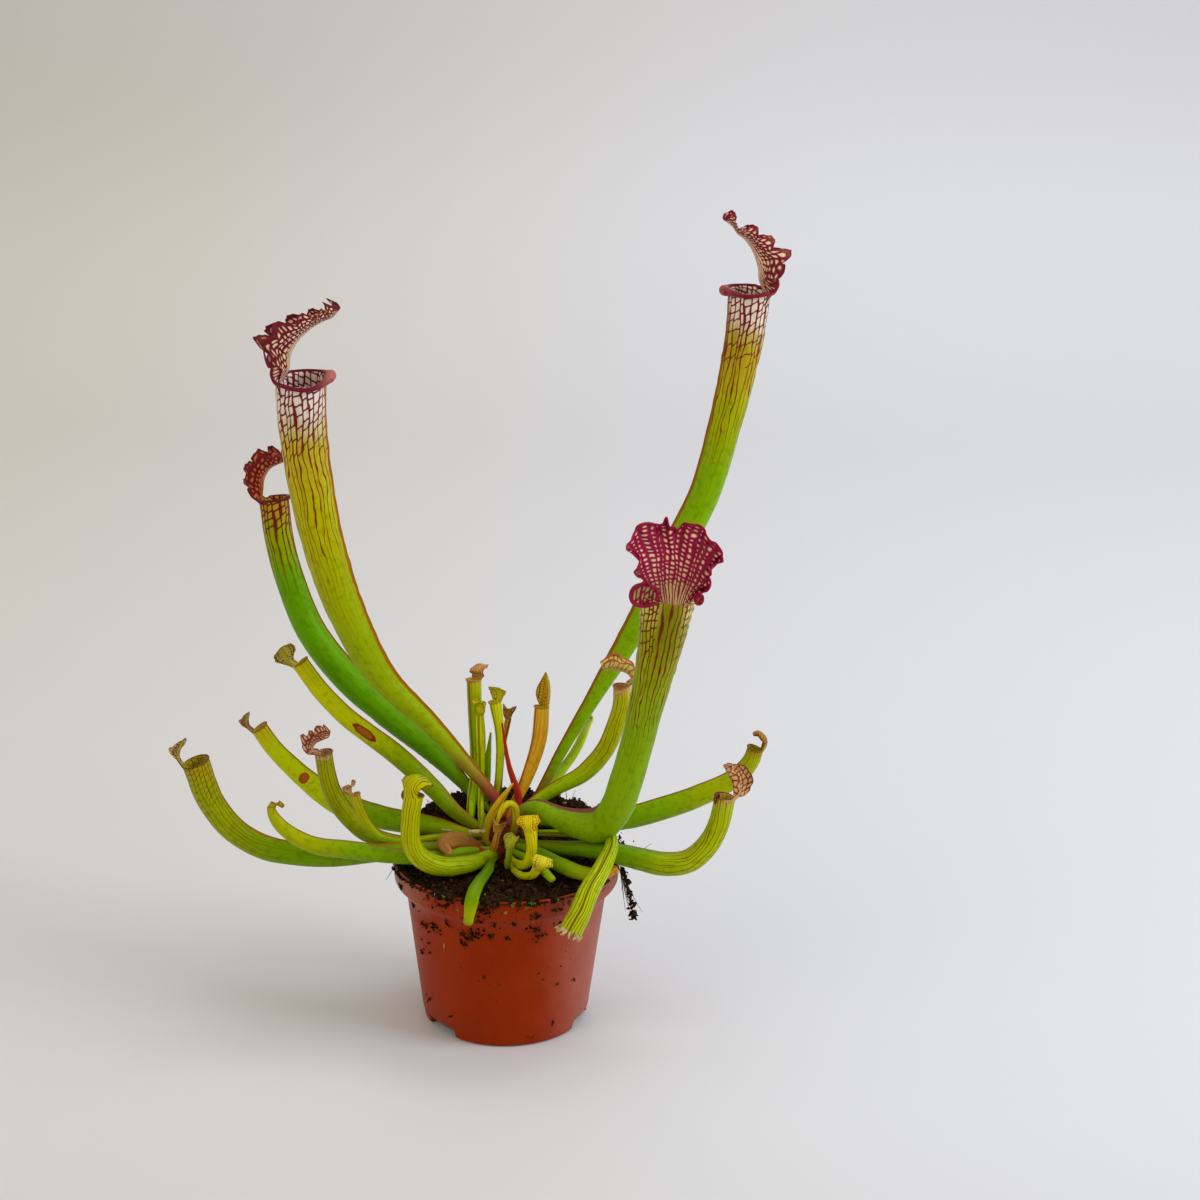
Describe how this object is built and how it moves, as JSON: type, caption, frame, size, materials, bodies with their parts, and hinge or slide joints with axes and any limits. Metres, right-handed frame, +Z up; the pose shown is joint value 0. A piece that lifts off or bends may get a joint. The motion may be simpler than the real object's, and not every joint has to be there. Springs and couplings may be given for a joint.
{
  "type": "potted sarracenia farnhamii pitcher plant",
  "caption": "Clump of slender upright and arching pitcher leaves with ruffled, net-veined hoods, growing from a peat plug in a round tapered nursery pot.",
  "frame": {"origin": "centre of the pot's foot, on the surface that it stands on", "axes": "+Z up along the pot's axis, +Y towards the back of the plant, +X to the viewer's right"},
  "size_m": [0.2314, 0.1174, 0.3136],
  "materials": {
    "pot_plastic": "satin",
    "peat": "matte",
    "rhizome": "matte",
    "great_pitcher": "satin",
    "dark_pitcher": "satin",
    "green_pitcher": "satin",
    "veined_pitcher": "satin",
    "amber_pitcher": "satin",
    "green_blade": "satin",
    "red_stalk": "satin",
    "withered": "matte"
  },
  "bodies": {
    "root": {"pot": "pot_plastic", "peat": "peat", "rhizome": "rhizome", "pitcher_tall_right": "great_pitcher", "pitcher_tall_left": "great_pitcher", "pitcher_back_left": "dark_pitcher", "pitcher_front_right": "great_pitcher", "pitcher_far_left": "green_pitcher", "pitcher_spotted_upper": "green_pitcher", "pitcher_spotted_lower": "green_pitcher", "pitcher_left_middle": "green_pitcher", "pitcher_left_small": "green_pitcher", "pitcher_hooked_left": "green_pitcher", "pitcher_curled_left": "veined_pitcher", "pitcher_back_tall": "green_pitcher", "pitcher_back_short": "green_pitcher", "pitcher_flared": "green_pitcher", "leaf_back_blade": "green_blade", "pitcher_withered_back": "withered", "leaf_red_spike": "red_stalk", "pitcher_unopened": "amber_pitcher", "pitcher_behind_right": "veined_pitcher", "leaf_pale_blunt": "green_blade", "pitcher_far_right": "green_pitcher", "pitcher_curled_right": "veined_pitcher", "pitcher_drooping": "veined_pitcher", "leaf_lying_right": "green_blade", "pitcher_front_yellow": "veined_pitcher", "leaf_front_small": "green_blade", "pitcher_front_short": "amber_pitcher", "leaf_over_rim": "green_blade", "young_pitcher_curved": "green_pitcher", "young_pitcher_hooked": "veined_pitcher", "young_pitcher_amber": "amber_pitcher", "young_pitcher_pale": "green_pitcher", "leaf_bud": "green_pitcher", "sheath_withered": "withered", "stalk_red": "red_stalk"}
  },
  "joints": []
}
